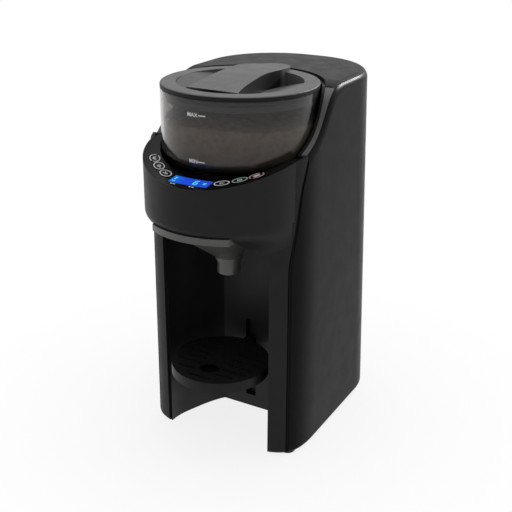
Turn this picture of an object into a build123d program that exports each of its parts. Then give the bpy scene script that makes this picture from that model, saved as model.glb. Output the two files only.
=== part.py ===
"""Countertop baby formula maker: powder canister on a round head, open bottle bay, tank at the back.

Millimetres, +Z up, resting on Z = 0. Sizes along Y are given from the canister's axis, front negative,
and canister_y moves that axis so that the whole object is centred on the origin.
"""

from build123d import *
import math
import os

os.makedirs("parts", exist_ok=True)

# ---------------------------------------------------------------- driving dimensions: housing
width = 176.0  # across the side cover at the base
side_lean = 2.0  # each side leans in by this from the base to the top
height = 368.0  # top edge of the side cover
head_r = 80.0  # round head, about the bottle axis
bottle_reach = 22.5  # bottle axis in front of the canister axis
back_reach = 172.0  # back of the base behind the canister axis
back_lean = 10.0  # the back leans in by this from the base to the top
base_flat = 26.0  # half the straight part of the back, at the base
top_flat = 8.0  # and at the top
leg_reach = 54.0  # front of the legs' outline before the canister axis
leg_fullness = 0.85  # how square the legs' outer corners are
wall = 3.0  # fascia and side cover
foot_h = 3.0  # rubber feet below the base
gap = 0.4  # clearance between pieces that stay or lift apart
seam_gap = 0.8  # slit between fascia and side cover
seam_w = 3.0  # groove around the slit
seam_depth = 1.2
edge_round = 8.0  # top edge of the side cover and of the cheeks
foot_round = 5.0  # lower edge of the housing

# ---------------------------------------------------------------- head, saddle and cheeks
head_h = 43.4  # front of the head, from its underside to its top edge
saddle_r = 333.0  # cross curve of the control surface
saddle_tilt = 8.5  # degrees, rising to the back
head_lip = 1.2  # thin rim of the fascia around the panel
panel_t = 2.0
arch_half = 60.0  # half the opening between the legs
arch_drop = 20.0  # top of the arch below the head's underside
arch_corner_r = 14.0
notch_half = 41.8  # half the funnel's slot in the head

# ---------------------------------------------------------------- bay
bay_back = 22.0  # flat back wall of the bay behind the canister axis
bay_back_half = 33.0
liner_t = 2.5

# ---------------------------------------------------------------- canister and its lid
canister_r = 75.0
canister_wall = 2.5
rim_drop = 5.6  # canister's rim below the housing's top edge
canister_h = 91.4  # from the neck's bottom to the rim
shoulder_h = 13.0  # round lower corner of the canister
neck_r = 61.0
neck_h = 22.0
canister_floor_t = 3.0
lid_drop = 1.0  # lid's top below the housing's top edge
lid_t = 2.5
grip_rise = 3.5  # back of the grip bar above the lid
finger_depth = 13.0  # recess beside the grip bar
finger_depth_x = 20.0  # where the recess is deepest, from the axis
pocket_r = 60.0
lock_ring_depth = 11.0  # band of the locking ring below the lid
powder_drop = 27.4  # mean height of the powder below the canister's rim

# ---------------------------------------------------------------- powder dosing
wheel_r = 58.0
wheel_t = 11.0
chamber_half = 8.5  # half the width of a dosing chamber and of the outlet
chamber_count = 6
chamber_circle_r = 45.0  # middle of the outlet and of the chute
chute_r = 10.5
chute_wall = 1.5
hub_r = 10.0
hex_across = 6.9
spindle_r = 4.0
running_gap = 0.05  # radial, shaft in bearing
gear_module = 2.0
gear_teeth = 30
pinion_teeth = 19
gear_t = 8.0
pinion_t = 12.0  # wider than its mate
drive_h = 25.0  # from the deck that carries the gears to the canister's neck
motor_r = 18.0
motor_h = 44.0

# ---------------------------------------------------------------- nest
nest_clear = 1.5  # between canister and nest wall
nest_wall = 2.4
nest_floor_t = 2.5
nest_drop = 3.0  # nest's floor below the canister's shoulder step

# ---------------------------------------------------------------- tank
tank_front = 84.5
tank_inset = 8.5
tank_wall = 2.5
tank_corner_r = 8.0
tank_bottom_z = 62.0
tank_rim_drop = 4.8  # tank's rim below the housing's top edge
cover_t = 3.5  # tank lid, the top cover

# ---------------------------------------------------------------- funnel, tray
flange_t = 6.5
spout_r = 11.5
spout_wall = 1.8
funnel_h = 47.0  # from the head's underside to the top of the spout
spout_h = 17.0
tray_r = 49.7
tray_offset = 40.0  # tray centre in front of the canister axis
tray_top_z = 91.2
tray_t = 10.5
grille_t = 2.0
grille_hole_r = 10.0
slot_pitch = 11.3
slot_w = 2.6

slot_half = 6.0  # slot for the tray's bracket in the bay's back wall
tray_down = 45.0  # travel of the tray below and above its shown height
tray_up = 20.0
arm_h = 25.0  # height of the tray's bracket
arm_low_z = tray_top_z - tray_t - 18
rail_low_z = arm_low_z - tray_down - 1
rail_high_z = arm_low_z + arm_h + tray_up + 1

# ---------------------------------------------------------------- controls
button_long = 15.0
button_short = 11.0
button_gap = 0.3
button_travel = 0.8
display_w = 40.0
display_d = 13.0

# ---------------------------------------------------------------- derived places
canister_rim_z = height - rim_drop
lid_top_z = height - lid_drop
neck_bottom_z = canister_rim_z - canister_h
step_z = neck_bottom_z + neck_h
shoulder_z = step_z + shoulder_h
nest_floor_z = step_z - nest_drop
head_floor_z = neck_bottom_z - drive_h
head_edge_z = head_floor_z + head_h
arch_top_z = head_floor_z - arch_drop
spout_top_z = head_floor_z - funnel_h
spout_bottom_z = spout_top_z - spout_h
powder_z = canister_rim_z - powder_drop
tank_rim_z = height - tank_rim_drop
head_reach = bottle_reach + head_r
canister_y = (head_reach - back_reach) / 2
bottle_y = canister_y - bottle_reach
tray_y = canister_y - tray_offset
half = width / 2
top_half = half - side_lean
top_back_reach = back_reach - back_lean
nest_r = canister_r + nest_clear


def above(y, z):
    """Horizontal work plane at height z, its origin y behind the world's."""
    return Plane((0, y, z))


def save(part, name):
    """Label a finished piece and write it."""
    part.label = name
    export_step(part, f"parts/{name}.step")


def column_outline(half_width, back, corner, front):
    """Housing outline seen from above, about the canister axis: full front corners, round back."""
    with BuildLine() as outline:
        full = leg_fullness
        Bezier((0, -front), (full * half_width, -front), (half_width, -full * front), (half_width, 0))
        Line((half_width, 0), (half_width, back - corner))
        CenterArc((half_width - corner, back - corner), corner, 0, 90)
        Line((half_width - corner, back), (0, back))
        mirror(about=Plane.YZ)
    make_face(outline.edges())


def column(inset, low, high):
    """Solid of the housing between two heights, moved in from the outer skin by inset."""
    with BuildPart() as body:
        for z in (low, high):
            share = (z - foot_h) / (height - foot_h)
            half_here = half - side_lean * share - inset
            back_here = back_reach - back_lean * share - inset
            flat_here = base_flat + (top_flat - base_flat) * share
            with BuildSketch(above(canister_y, z)):
                column_outline(half_here, back_here, half_here - flat_here, leg_reach - inset)
        loft(ruled=True)
    return body.part


# sections of the flare: depth below the head's underside, front and corner from the canister axis
flare = ((48.0, 46.0, 68.0), (34.0, 54.0, 72.0), (22.0, 66.0, 75.0), (12.0, 82.0, 77.0), (3.0, 97.0, 77.8))
flare_back = 40.0
flare_join = 6.0  # where the round head starts above its underside


def head(inset, high):
    """Round head with the flare that carries it forward from the legs."""
    join_z = head_floor_z + flare_join + inset
    corner_x = math.sqrt((head_r - inset) ** 2 - (flare_back - bottle_reach) ** 2)
    sections = [(head_floor_z - depth + inset, front - inset, side - inset) for depth, front, side in flare]
    sections.append((join_z, head_reach - inset, corner_x))
    with BuildPart() as body:
        for z, front, side in sections:
            with BuildSketch(above(canister_y, z)):
                with BuildLine():
                    ThreePointArc((-side, -flare_back), (0, -front), (side, -flare_back))
                    Line((side, -flare_back), (-side, -flare_back))
                make_face()
        loft()
        with BuildSketch(above(bottle_y, join_z)):
            Circle(head_r - inset)
        extrude(amount=high - join_z)
    return body.part


saddle_half_span = 115.0
saddle_rise = saddle_r - math.sqrt(saddle_r**2 - saddle_half_span**2)
tilt = math.radians(saddle_tilt)
saddle_plane = Plane(
    origin=(0, canister_y - head_reach, head_edge_z),
    x_dir=(1, 0, 0),
    z_dir=(0, -math.cos(tilt), -math.sin(tilt)),
)


def over_saddle(drop, ceiling=160.0):
    """Everything above the control surface, moved down by drop, up to the ceiling."""
    with BuildPart() as zone:
        with BuildSketch(saddle_plane):
            with BuildLine():
                span = saddle_half_span
                arc = ThreePointArc((-span, saddle_rise - drop), (0, -drop), (span, saddle_rise - drop))
                Polyline(arc @ 1, (span, ceiling), (-span, ceiling), arc @ 0)
            make_face()
        extrude(amount=160, both=True)
    return zone.part


# S-curve of the cheeks: place behind the canister axis and depth below the top edge
cheek_points = ((-22.5, 56.5), (-8.0, 45.5), (7.0, 29.0), (19.0, 13.0), (30.0, 4.5), (46.0, 1.0))
cheek_slope = 0.8
saddle_end = cheek_points[0][0]


def over_cheek(drop, run_out=0.0):
    """Everything above the cheeks' S-curve, moved down by drop, from run_out ahead of its front end."""
    with BuildPart() as zone:
        with BuildSketch(Plane.YZ):
            with BuildLine():
                places = [(canister_y + y, height - depth - drop) for y, depth in cheek_points]
                curve = Spline(places, tangents=((1, cheek_slope), (1, 0.1)))
                front = (places[0][0] - run_out, places[0][1] - cheek_slope * run_out)
                if run_out:
                    Line(front, curve @ 0)
                Polyline(
                    curve @ 1,
                    (canister_y + back_reach + 20, height - drop),
                    (canister_y + back_reach + 20, height + 60),
                    (front[0], height + 60),
                    front,
                )
            make_face()
        extrude(amount=width, both=True)
    return zone.part


# seam between fascia and side cover: place behind the canister axis and depth below the top edge
seam_points = ((-40.0, 168.0), (-35.0, 121.0), (-29.5, 82.0), (-22.5, 56.0))


def front_zone(shift):
    """Everything in front of the seam between fascia and side cover, moved back by shift."""
    with BuildPart() as zone:
        with BuildSketch(Plane.YZ):
            with BuildLine():
                points = [(canister_y + y + shift, height - depth) for y, depth in seam_points]
                foot = Line((points[0][0], 0), points[0])
                curve = Spline(points, tangents=((0, 1), (0.2, 1)))
                Polyline(
                    curve @ 1,
                    (points[-1][0], height + 20),
                    (canister_y - head_reach - 40, height + 20),
                    (canister_y - head_reach - 40, 0),
                    foot @ 0,
                )
            make_face()
        extrude(amount=width, both=True)
    return zone.part


def bay_outline(out):
    """Bay seen from above, moved out by out, open past the front of the legs."""
    with BuildLine() as outline:
        side = arch_half - 2 + out
        back_half = bay_back_half + out
        Line((side, -head_reach), (side, -44))
        Spline((side, -44), (side - 7, -14), (back_half, bay_back + out), tangents=((0, 1), (-0.8, 1)))
        Line((back_half, bay_back + out), (0, bay_back + out))
        mirror(about=Plane.YZ)
        Line((side, -head_reach), (-side, -head_reach))
    make_face(outline.edges())


with BuildPart() as footed_column:
    add(column(0, foot_h, height))
    fillet(edges().group_by(Axis.Z)[0], foot_round)
outer_column = footed_column.part
inner_column = column(wall, foot_h - 1, height + 1)
outer_head = head(0, height - 30)
inner_head = head(wall, height - 29)
with BuildPart() as inside:
    add(column(wall + gap, foot_h, height - 30))
    add(head(wall + gap, height - 30))
with BuildPart() as skin:
    add(outer_column)
    add(over_cheek(0, leg_reach), mode=Mode.SUBTRACT)
    tops = faces().filter_by(lambda face: face.normal_at().Z > 0.3)
    sides = faces().filter_by(lambda face: abs(face.normal_at().Z) < 0.3)
    fillet(tops.edges() & sides.edges(), edge_round)
ahead = front_zone(0)
ahead_and_seam = front_zone(seam_gap)
with BuildPart() as seam_groove:
    add(outer_column)
    add(column(seam_depth, foot_h - 1, height + 1), mode=Mode.SUBTRACT)
    add(front_zone((seam_gap + seam_w) / 2), mode=Mode.INTERSECT)
    add(front_zone((seam_gap - seam_w) / 2), mode=Mode.SUBTRACT)
over_edge = over_saddle(0)
over_ledge = over_saddle(panel_t + 0.2)

# ---------------------------------------------------------------- front fascia: head and two legs
with BuildPart() as panel_pocket:
    with BuildSketch(above(bottle_y, head_edge_z - 20)):
        Circle(head_r - head_lip)
    extrude(amount=80)
    add(over_ledge, mode=Mode.INTERSECT)

with BuildPart() as front_fascia:
    add(outer_column)
    add(outer_head)
    add(inner_column, mode=Mode.SUBTRACT)
    add(inner_head, mode=Mode.SUBTRACT)
    add(ahead, mode=Mode.INTERSECT)
    add(over_edge, mode=Mode.SUBTRACT)
    with BuildSketch(Plane.XZ.offset(-canister_y)):
        with Locations((0, arch_top_z / 2)):
            Rectangle(2 * arch_half, arch_top_z)
        fillet(vertices().group_by(Axis.Y)[-1], arch_corner_r)
    extrude(amount=head_reach + 5, mode=Mode.SUBTRACT)
    with BuildSketch(Plane.XZ.offset(-canister_y)):
        with Locations((0, head_floor_z / 2)):
            Rectangle(2 * notch_half, head_floor_z)
    extrude(amount=head_reach + 5, mode=Mode.SUBTRACT)
    add(panel_pocket.part, mode=Mode.SUBTRACT)
    add(seam_groove.part, mode=Mode.SUBTRACT)
save(front_fascia.part, "front_fascia")

# ---------------------------------------------------------------- side cover: both sides and the back
inlet_w = 32.0
inlet_h = 24.0
inlet_z = 40.0
boss_r = 4.5
vent_z = 110.0  # row of air slots in the back
vent_l = 40.0
vent_w = 3.0
vent_pitch = 8.0
vent_count = 7
screw_inset = 16.0  # front screws from the sides, at their place behind the canister axis
screw_front = 20.0
back_screw_x = 48.0
back_screw_inset = 34.0
side_screws = ((half - screw_inset, screw_front), (screw_inset - half, screw_front))
back_screws = ((back_screw_x, back_reach - back_screw_inset), (-back_screw_x, back_reach - back_screw_inset))
screw_places = side_screws + back_screws
with BuildPart() as side_cover:
    add(skin.part)
    add(inner_column, mode=Mode.SUBTRACT)
    add(ahead_and_seam, mode=Mode.SUBTRACT)
    add(seam_groove.part, mode=Mode.SUBTRACT)
    with BuildSketch(Plane.XZ.offset(-canister_y - back_reach)):
        with Locations((0, inlet_z)):
            RectangleRounded(inlet_w + 2 * gap, inlet_h + 2 * gap, 3)
    extrude(amount=30, both=True, mode=Mode.SUBTRACT)
    with BuildSketch(Plane.XZ.offset(-canister_y - back_reach)):
        with Locations((0, vent_z)):
            with GridLocations(vent_pitch, vent_l, vent_count, 1):
                SlotOverall(vent_l, vent_w, rotation=90)
    extrude(amount=30, both=True, mode=Mode.SUBTRACT)
save(side_cover.part, "side_cover")

# ---------------------------------------------------------------- base plate, feet and screws
base_t = 3.0
with BuildPart() as base_plate:
    add(column(wall + gap, foot_h, foot_h + base_t))
    with BuildSketch(above(canister_y, foot_h)):
        bay_outline(liner_t + gap)
    extrude(amount=base_t, mode=Mode.SUBTRACT)
    with BuildSketch(above(canister_y, foot_h)):
        with Locations(*screw_places):
            Circle(1.8)
    extrude(amount=base_t, mode=Mode.SUBTRACT)
save(base_plate.part, "base_plate")

foot_r = 8.0
foot_inset = 16.0
front_foot_y = -28.0
back_foot_inset = 30.0
back_foot_y = back_reach - 54.0
front_feet = ((half - foot_inset, front_foot_y), (foot_inset - half, front_foot_y))
back_feet = ((half - back_foot_inset, back_foot_y), (back_foot_inset - half, back_foot_y))
foot_places = front_feet + back_feet
with BuildPart() as rubber_feet:
    with BuildSketch(above(canister_y, 0)):
        with Locations(*foot_places):
            Circle(foot_r)
    extrude(amount=foot_h)
    chamfer(edges().group_by(Axis.Z)[0], 0.8)
save(rubber_feet.part, "rubber_feet")

with BuildPart() as housing_screws:
    with BuildSketch(above(canister_y, foot_h - 1.6)):
        with Locations(*screw_places):
            Circle(3.4)
    extrude(amount=1.6)
    with BuildSketch(above(canister_y, foot_h)):
        with Locations(*screw_places):
            Circle(1.5)
    extrude(amount=11)
save(housing_screws.part, "housing_screws")

with BuildPart() as screw_posts:
    with BuildSketch(above(canister_y, foot_h + base_t)):
        with Locations(*screw_places):
            Circle(boss_r)
            Circle(1.5 + running_gap, mode=Mode.SUBTRACT)
    extrude(amount=14)
save(screw_posts.part, "screw_posts")

# ---------------------------------------------------------------- bay liner
with BuildPart() as bay_liner:
    with BuildSketch(above(canister_y, foot_h)):
        bay_outline(liner_t)
    extrude(amount=arch_top_z + liner_t - foot_h)
    with BuildSketch(above(canister_y, foot_h)):
        bay_outline(0)
    extrude(amount=arch_top_z - foot_h, mode=Mode.SUBTRACT)
    add(inside.part, mode=Mode.INTERSECT)
    with BuildSketch(above(bottle_y, arch_top_z)):
        with Locations((0, -10)):
            Rectangle(2 * notch_half, 100)
    extrude(amount=liner_t, mode=Mode.SUBTRACT)
    with BuildSketch(above(canister_y, rail_low_z)):
        with Locations((0, bay_back)):
            Rectangle(2 * slot_half, 20)
    extrude(amount=rail_high_z - rail_low_z, mode=Mode.SUBTRACT)
save(bay_liner.part, "bay_liner")

# ---------------------------------------------------------------- nest for the canister
recess_r = neck_r + nest_clear
recess_floor_z = neck_bottom_z - 0.3
deck_z = head_floor_z  # gear deck inside the head
deck_t = 3.0
with BuildPart() as front_of_cheeks:
    with Locations((0, canister_y + saddle_end - 100, height)):
        Box(2 * width, 200, 300)
    add(over_saddle(panel_t + 0.3), mode=Mode.INTERSECT)

with BuildPart() as nest:
    with BuildSketch(above(canister_y, nest_floor_z - nest_floor_t)):
        Circle(nest_r + nest_wall)
    extrude(amount=height - cover_t - nest_floor_z + nest_floor_t - 1)
    with BuildSketch(above(canister_y, nest_floor_z)):
        Circle(nest_r)
    extrude(amount=height, mode=Mode.SUBTRACT)
    add(front_of_cheeks.part, mode=Mode.SUBTRACT)
    add(over_cheek(0.5), mode=Mode.SUBTRACT)
    with BuildSketch(above(canister_y, nest_floor_z - nest_floor_t)):
        Circle(recess_r)
    extrude(amount=nest_floor_t, mode=Mode.SUBTRACT)
save(nest.part, "nest")

with BuildPart() as wheel_cup:
    with BuildSketch(above(canister_y, recess_floor_z - nest_floor_t)):
        Circle(recess_r + nest_wall)
    extrude(amount=nest_floor_z - recess_floor_z)
    with BuildSketch(above(canister_y, recess_floor_z)):
        Circle(recess_r)
    extrude(amount=nest_floor_z - recess_floor_z, mode=Mode.SUBTRACT)
    with BuildSketch(above(canister_y, recess_floor_z - nest_floor_t)):
        with Locations((0, -chamber_circle_r)):
            Circle(chute_r)
        Circle(spindle_r + running_gap)
    extrude(amount=nest_floor_t, mode=Mode.SUBTRACT)
save(wheel_cup.part, "wheel_cup")

with BuildPart() as powder_chute:
    with BuildSketch(above(canister_y, deck_z + deck_t)):
        with Locations((0, -chamber_circle_r)):
            Circle(chute_r + chute_wall)
            Circle(chute_r, mode=Mode.SUBTRACT)
    extrude(amount=recess_floor_z - nest_floor_t - deck_z - deck_t)
save(powder_chute.part, "powder_chute")

# ---------------------------------------------------------------- cheek trims beside the nest
trim_back = 30.0
trim_depth = 9.0
trim_low_z = height - cheek_points[0][1] - trim_depth
with BuildPart() as cheek_trim:
    add(column(wall + gap, trim_low_z, height))
    with BuildSketch(above(canister_y, trim_low_z)):
        Circle(nest_r + nest_wall + gap)
    extrude(amount=height, mode=Mode.SUBTRACT)
    with Locations((0, canister_y + saddle_end + 1 - half, height)):
        Box(2 * width, 2 * half, height, mode=Mode.SUBTRACT)
    with Locations((0, canister_y + trim_back + half, height)):
        Box(2 * width, 2 * half, height, mode=Mode.SUBTRACT)
    add(over_cheek(0.6), mode=Mode.SUBTRACT)
    add(over_cheek(trim_depth), mode=Mode.INTERSECT)
save(cheek_trim.part, "cheek_trim")

# ---------------------------------------------------------------- control panel, display and buttons
panel_r = head_r - head_lip - 0.2
display_y = -87.0
button_places = ((29.6, -82.9), (42.8, -74.3), (54.3, -64.7))
button_names = ("start", "stop", "settings", "speed", "temperature", "volume")
all_buttons = [(sign * x, y) for sign in (1, -1) for x, y in button_places]
button_proud = 0.5
board_z = head_edge_z - 17.4
board_t = 1.6
switch_h = 1.6


def saddle_band(top, bottom):
    """Layer that follows the control surface, from top to bottom below it (negative is above)."""
    with BuildPart() as layer:
        with BuildSketch(saddle_plane):
            with BuildLine():
                span = saddle_half_span
                high = ThreePointArc((-span, saddle_rise - top), (0, -top), (span, saddle_rise - top))
                low = ThreePointArc((-span, saddle_rise - bottom), (0, -bottom), (span, saddle_rise - bottom))
                Line(high @ 0, low @ 0)
                Line(high @ 1, low @ 1)
            make_face()
        extrude(amount=160, both=True)
    return layer.part


def tangent_angle(x, y):
    """Angle of the ring's tangent at a place on the panel, in degrees."""
    return math.degrees(math.atan2(x, -y))


with BuildPart() as control_panel:
    with BuildSketch(above(canister_y, head_edge_z - 20)):
        with Locations((0, -bottle_reach)):
            Circle(panel_r)
        Circle(nest_r + 0.3, mode=Mode.SUBTRACT)
        with Locations((0, saddle_end - 0.4 + 60)):
            Rectangle(2 * width, 120, mode=Mode.SUBTRACT)
        for x, y in all_buttons:
            with Locations(Location((x, y, 0), (0, 0, tangent_angle(x, y)))):
                Ellipse(button_long / 2 + button_gap, button_short / 2 + button_gap, mode=Mode.SUBTRACT)
        with Locations((0, display_y)):
            RectangleRounded(display_w + 0.4, display_d + 0.4, 1.2, mode=Mode.SUBTRACT)
    extrude(amount=60)
    add(saddle_band(0, panel_t), mode=Mode.INTERSECT)
save(control_panel.part, "control_panel")

with BuildPart() as display_lens:
    with BuildSketch(above(canister_y, head_edge_z - 10)):
        with Locations((0, display_y)):
            RectangleRounded(display_w, display_d, 1.0)
    extrude(amount=40)
    add(saddle_band(0.1, panel_t), mode=Mode.INTERSECT)
save(display_lens.part, "display_lens")

module_border = 2.0
module_t = 8.0
module_z = head_edge_z - panel_t - 0.4 - module_t
with BuildPart() as display_module:
    with BuildSketch(above(canister_y, module_z)):
        with Locations((0, display_y)):
            Rectangle(display_w + 2 * module_border, display_d + module_border)
    extrude(amount=module_t)
save(display_module.part, "display_module")

with BuildPart() as circuit_board:
    with BuildSketch(above(canister_y, board_z)):
        with Locations((0, -bottle_reach)):
            Circle(head_r - wall - 1)
        Circle(recess_r + nest_wall + 1, mode=Mode.SUBTRACT)
        with Locations((0, -50 + 60)):
            Rectangle(2 * width, 120, mode=Mode.SUBTRACT)
    extrude(amount=board_t)
save(circuit_board.part, "circuit_board")

with BuildPart() as button_switches:
    with BuildSketch(above(canister_y, board_z + board_t)):
        with Locations(*all_buttons):
            Rectangle(6, 6)
    extrude(amount=switch_h)
save(button_switches.part, "button_switches")

for place, name in zip(all_buttons, button_names):
    stem_z = board_z + board_t + switch_h + button_travel + 0.3
    with BuildPart() as stem:
        with BuildSketch(above(canister_y, stem_z)):
            with Locations(place):
                Circle(2)
        extrude(amount=60)
        add(saddle_band(panel_t / 2, 60), mode=Mode.INTERSECT)
    with BuildPart() as button:
        with BuildSketch(above(canister_y, stem_z)):
            with Locations(Location((*place, 0), (0, 0, tangent_angle(*place)))):
                Ellipse(button_long / 2, button_short / 2)
        extrude(amount=60)
        add(saddle_band(-button_proud, panel_t), mode=Mode.INTERSECT)
        add(stem.part)
    save(button.part, f"{name}_button")

# ---------------------------------------------------------------- canister, lid, ring, seal and powder
axis_plane = Plane.XZ.offset(-canister_y)
canister_axis = Axis((0, canister_y, 0), (0, 0, 1))
inner_r = canister_r - canister_wall
floor_top_z = neck_bottom_z + canister_floor_t
spindle_hole_r = 6.0
with BuildPart() as canister:
    with BuildSketch(axis_plane):
        with BuildLine():
            Polyline(
                (canister_r, canister_rim_z),
                (canister_r, step_z),
                (neck_r - canister_wall, step_z),
                (neck_r - canister_wall, step_z + canister_wall),
                (inner_r, step_z + canister_wall),
                (inner_r, canister_rim_z),
                close=True,
            )
        make_face()
        corners = vertices().sort_by(Axis.X)
        fillet([v for v in corners if v.X > canister_r - 0.1 and v.Y < step_z + 1], shoulder_z - step_z)
        fillet(
            [v for v in vertices() if abs(v.X - inner_r) < 0.1 and v.Y < step_z + canister_wall + 1],
            shoulder_z - step_z - canister_wall,
        )
    revolve(axis=canister_axis)
save(canister.part, "canister")

with BuildPart() as canister_base:
    with BuildSketch(above(canister_y, floor_top_z)):
        Circle(neck_r)
        Circle(neck_r - canister_wall, mode=Mode.SUBTRACT)
    extrude(amount=neck_h - canister_floor_t)
save(canister_base.part, "canister_base")

with BuildPart() as canister_floor:
    with BuildSketch(above(canister_y, neck_bottom_z)):
        Circle(neck_r)
        Circle(spindle_hole_r, mode=Mode.SUBTRACT)
        with Locations((0, -chamber_circle_r)):
            Rectangle(2 * chamber_half, 2 * chamber_half, mode=Mode.SUBTRACT)
    extrude(amount=canister_floor_t)
save(canister_floor.part, "canister_floor")

powder_low = step_z + canister_wall + 0.3
powder_wave = ((-80.0, 3.0), (-45.0, 2.0), (0.0, -1.0), (28.0, -4.0), (60.0, -2.0), (80.0, 1.0))
with BuildPart() as powder_fill:
    with BuildSketch(axis_plane):
        with BuildLine():
            side = inner_r - 0.3
            top = powder_z + 10
            Polyline((0, powder_low), (side, powder_low), (side, top), (0, top), close=True)
        make_face()
        fillet(vertices().group_by(Axis.Y)[0].sort_by(Axis.X)[-1], shoulder_h - canister_wall)
    revolve(axis=canister_axis)
    with BuildSketch(axis_plane):
        with BuildLine():
            wave = Spline([(x, powder_z + rise) for x, rise in powder_wave])
            Polyline(wave @ 1, (80, powder_z + 30), (-80, powder_z + 30), wave @ 0)
        make_face()
    extrude(amount=canister_r + 5, both=True, mode=Mode.SUBTRACT)
save(powder_fill.part, "powder_fill")

lid_low_z = canister_rim_z + 0.3
plug_r = 66.0
plug_wall = 2.5
plug_low_z = lid_low_z - 6
# grip bar seen from above: front end, waisted right edge, round tab at the back, left edge
grip_right = ((27.0, -50.0), (20.5, -27.0), (16.0, 2.0), (13.5, 29.0), (17.0, 48.0), (17.5, 68.0))
grip_tip_y = 78.4
grip_left = ((-14.0, 68.0), (-33.0, 50.0), (-33.0, 27.0), (-31.5, 3.0), (-29.0, -25.0), (-27.0, -50.0))
tab_low_z = lid_top_z - lid_t


def grip_bar(inset):
    """Outline of the lid's grip bar seen from above, its long sides moved in by inset."""
    with BuildLine() as outline:
        right = Spline([(x - inset, y) for x, y in grip_right])
        left = Spline([(x + inset, y) for x, y in grip_left])
        ThreePointArc(right @ 1, (0, grip_tip_y), left @ 0)
        Line(left @ 1, right @ 0)
    make_face(outline.edges())


def finger_pockets(grow):
    """Both recesses beside the grip bar, deepest at the bar, grown by grow for the lid's underside."""
    low = lid_top_z - finger_depth - grow
    with BuildPart() as pockets:
        with BuildSketch(axis_plane):
            with BuildLine():
                edge = pocket_r + grow
                slope_top = lid_top_z - grow
                floor = ((0, low), (finger_depth_x, low), (edge, slope_top))
                Polyline(*floor, (edge, height), (0, height), close=True)
            make_face()
            mirror(about=Plane.YZ)
        extrude(amount=canister_r, both=True)
        with BuildSketch(above(canister_y, low)):
            Circle(pocket_r + grow)
        extrude(amount=2 * finger_depth, mode=Mode.INTERSECT)
        with BuildSketch(above(canister_y, low)):
            grip_bar(grow)
        extrude(amount=2 * finger_depth, mode=Mode.SUBTRACT)
    return pockets.part


with BuildPart() as under_arch:
    with BuildSketch(Plane.YZ):
        with BuildLine():
            crest = Spline(
                (canister_y + grip_right[0][1], lid_top_z),
                (canister_y, lid_top_z + 0.65 * grip_rise),
                (canister_y + grip_tip_y, lid_top_z + grip_rise),
                tangents=((1, 0.02), (1, 0)),
            )
            low_back = (canister_y + grip_tip_y, tab_low_z)
            low_front = (canister_y + grip_right[0][1], tab_low_z)
            Polyline(crest @ 1, low_back, low_front, crest @ 0)
        make_face()
    extrude(amount=canister_r, both=True)

with BuildPart() as grip:
    with BuildSketch(above(canister_y, tab_low_z)):
        grip_bar(0)
    extrude(amount=lid_t + 2 * grip_rise)
    add(under_arch.part, mode=Mode.INTERSECT)

with BuildPart() as lid_underside:
    with BuildSketch(above(canister_y, lid_top_z - 2 * finger_depth)):
        Circle(canister_r)
    extrude(amount=2 * finger_depth)

with BuildPart() as canister_lid:
    with BuildSketch(axis_plane):
        with BuildLine():
            Polyline(
                (0, lid_top_z),
                (canister_r, lid_top_z),
                (canister_r, lid_low_z),
                (plug_r, lid_low_z),
                (plug_r, plug_low_z),
                (plug_r - plug_wall, plug_low_z),
                (plug_r - plug_wall, lid_top_z - lid_t),
                (0, lid_top_z - lid_t),
                close=True,
            )
        make_face()
        fillet([v for v in vertices() if v.X > canister_r - 0.1 and v.Y > lid_top_z - 0.1], 1.6)
    revolve(axis=canister_axis)
    add(finger_pockets(lid_t))
    add(lid_underside.part, mode=Mode.INTERSECT)
    add(grip.part)
    add(finger_pockets(0), mode=Mode.SUBTRACT)
save(canister_lid.part, "canister_lid")

ring_r = canister_r - canister_wall - 2.9
with BuildPart() as lid_lock_ring:
    with BuildSketch(above(canister_y, lid_low_z - lock_ring_depth)):
        Circle(ring_r)
        Circle(plug_r + 0.1, mode=Mode.SUBTRACT)
    extrude(amount=lock_ring_depth)
save(lid_lock_ring.part, "lid_lock_ring")

with BuildPart() as lid_seal:
    with BuildSketch(above(canister_y, lid_low_z - 5)):
        Circle(inner_r - 0.3)
        Circle(ring_r + 0.1, mode=Mode.SUBTRACT)
    extrude(amount=4.7)
save(lid_seal.part, "lid_seal")

# ---------------------------------------------------------------- dosing wheel and its drive
wheel_z = floor_top_z + 0.3
with BuildPart() as dosing_wheel:
    with BuildSketch(above(canister_y, wheel_z)):
        Circle(wheel_r)
        with PolarLocations(chamber_circle_r + chamber_half, chamber_count, start_angle=-90):
            Rectangle(4 * chamber_half, 2 * chamber_half, mode=Mode.SUBTRACT)
    extrude(amount=wheel_t)
    with BuildSketch(above(canister_y, wheel_z + wheel_t)):
        Circle(hub_r)
    extrude(amount=3)
    with BuildSketch(above(canister_y, wheel_z)):
        RegularPolygon((hex_across + 0.3) / 2, 6, major_radius=False)
    extrude(amount=wheel_t - 1, mode=Mode.SUBTRACT)
save(dosing_wheel.part, "dosing_wheel")

stirrer_t = 6.0
with BuildPart() as stirrer:
    with BuildSketch(above(canister_y, wheel_z + wheel_t + 3)):
        Circle(hub_r)
        with PolarLocations(0, 3):
            with Locations((28, 0)):
                SlotOverall(52, 5)
    extrude(amount=stirrer_t)
save(stirrer.part, "stirrer")


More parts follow.
